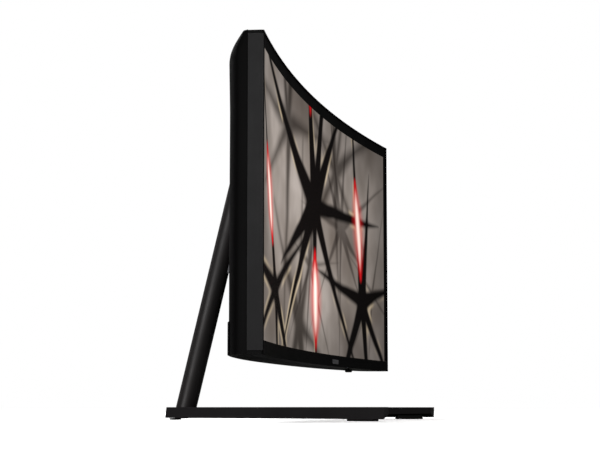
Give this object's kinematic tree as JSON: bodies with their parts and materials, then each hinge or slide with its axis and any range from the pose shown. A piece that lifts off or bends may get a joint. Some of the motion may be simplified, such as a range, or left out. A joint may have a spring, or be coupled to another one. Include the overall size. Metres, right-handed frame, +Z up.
{
  "type": "curved computer monitor",
  "caption": "Curved ultra-wide desktop monitor on a leaning round pole with a V-shaped foot; height slide, tilt hinge, lift spring and menu joystick move.",
  "frame": {"origin": "middle of the footprint of the bounding box, on the desk", "axes": "+Z up, +X to the right seen from in front of the screen, +Y from the screen towards the pole; the screen faces -Y"},
  "size_m": [0.8382, 0.3444, 0.4483],
  "materials": {
    "bezel_plastic": "fine satin black moulding",
    "border_glass": "black border behind an anti-glare surface",
    "lit_screen": "anti-glare display surface, lit",
    "optical_film": "translucent white film",
    "acrylic": "clear acrylic sheet",
    "zinc_steel": "zinc-plated pressed steel",
    "frame_plastic": "fine-grained black moulding",
    "trim_satin": "satin dark grey, brushed lengthwise",
    "badge_metal": "plain satin plate, no lettering",
    "lamp_lens": "frosted lens, lit white-blue",
    "circuit_board": "green solder mask",
    "inner_plastic": "unpainted black moulding",
    "connector_metal": "plated connector shells",
    "cover_plastic": "fine spark-eroded black texture",
    "black_steel": "black powder coat on pressed steel",
    "black_screw": "black-oxide steel",
    "washer_brass": "brushed friction washer",
    "cast_alloy": "as-cast grey alloy",
    "nylon": "natural nylon",
    "spring_steel": "polished spring strip",
    "pole_paint": "satin black-brown lacquer on a steel tube",
    "foot_paint": "fine satin black powder coat",
    "rubber": "black rubber"
  },
  "bodies": {
    "stand": {"foot_body": "foot_paint", "foot_ballast": "zinc_steel", "foot_cover": "inner_plastic", "pad_front_left": "rubber", "pad_front_right": "rubber", "pad_rear": "rubber", "pole_gasket": "rubber", "pole_tube": "pole_paint", "pole_plug": "cast_alloy", "pole_cap": "cover_plastic", "drum_axle": "zinc_steel", "spring_ribbon": "spring_steel", "foot_screw": "black_screw"},
    "screw_ring": {"screw_ring": "zinc_steel"},
    "spring_drum": {"spring_drum": "nylon", "spring_coil": "spring_steel"},
    "carriage": {"carriage": "cast_alloy", "glide_lower": "nylon", "glide_upper": "nylon", "neck_cover": "cover_plastic"},
    "head": {"front_bezel": "bezel_plastic", "border_mask": "border_glass", "lcd_cell": "lit_screen", "prism_film": "optical_film", "diffuser_sheet": "optical_film", "reflector_sheet": "optical_film", "light_guide": "acrylic", "backlight_tray": "zinc_steel", "mount_chassis": "zinc_steel", "hinge_pin": "zinc_steel", "hinge_nut": "zinc_steel", "mid_frame": "frame_plastic", "rear_skirt": "frame_plastic", "side_trim_left": "trim_satin", "side_trim_right": "trim_satin", "chin_badge": "badge_metal", "power_light": "lamp_lens", "led_bar": "circuit_board", "main_board": "circuit_board", "power_board": "circuit_board", "timing_board": "circuit_board", "joystick_board": "circuit_board", "speaker_left": "inner_plastic", "speaker_right": "inner_plastic", "port_recess": "inner_plastic", "port_block": "connector_metal", "rear_cover": "cover_plastic", "mount_cover": "cover_plastic", "tilt_bracket": "black_steel", "mount_screw_1": "black_screw", "mount_screw_2": "black_screw", "mount_screw_3": "black_screw", "mount_screw_4": "black_screw", "hinge_washer_left": "washer_brass", "hinge_washer_right": "washer_brass"},
    "stick_press": {"stick_plunger": "inner_plastic"},
    "stick_rock": {"stick_rocker": "nylon"},
    "stick_cap": {"stick_cap": "bezel_plastic"}
  },
  "joints": [
    {"name": "height_slide", "type": "slide", "parent": "stand", "child": "carriage", "axis": [0, -0.236, 0.9718], "range_m": [0, 0.09], "deforming": ["spring_ribbon"]},
    {"name": "tilt", "type": "hinge", "parent": "carriage", "child": "head", "pos_m": [0, 0.044, 0.216], "axis": [-1, 0, 0], "range_deg": [-5, 15]},
    {"name": "drum_spin", "type": "hinge", "parent": "stand", "child": "spring_drum", "pos_m": [0, 0.06911, 0.33987], "axis": [1, 0, 0], "range_deg": [0, 820]},
    {"name": "ring_fold", "type": "hinge", "parent": "stand", "child": "screw_ring", "pos_m": [0, 0.1471, 0.0024], "axis": [-1, 0, 0], "range_deg": [0, 90]},
    {"name": "stick_press", "type": "slide", "parent": "head", "child": "stick_press", "axis": [0, 0, 1], "range_m": [0, 0.0004], "stiffness_N_per_m": 4000},
    {"name": "stick_fore_aft", "type": "hinge", "parent": "stick_press", "child": "stick_rock", "pos_m": [0.235, -0.03911, 0.0826], "axis": [1, 0, 0], "range_deg": [-4, 4], "stiffness_Nm_per_rad": 0.05},
    {"name": "stick_left_right", "type": "hinge", "parent": "stick_rock", "child": "stick_cap", "pos_m": [0.235, -0.03911, 0.0826], "axis": [0, 1, 0], "range_deg": [-4, 4], "stiffness_Nm_per_rad": 0.05}
  ],
  "couplings": [
    {"joint": "drum_spin", "follows": "height_slide", "rad_per_m": 156.25}
  ]
}
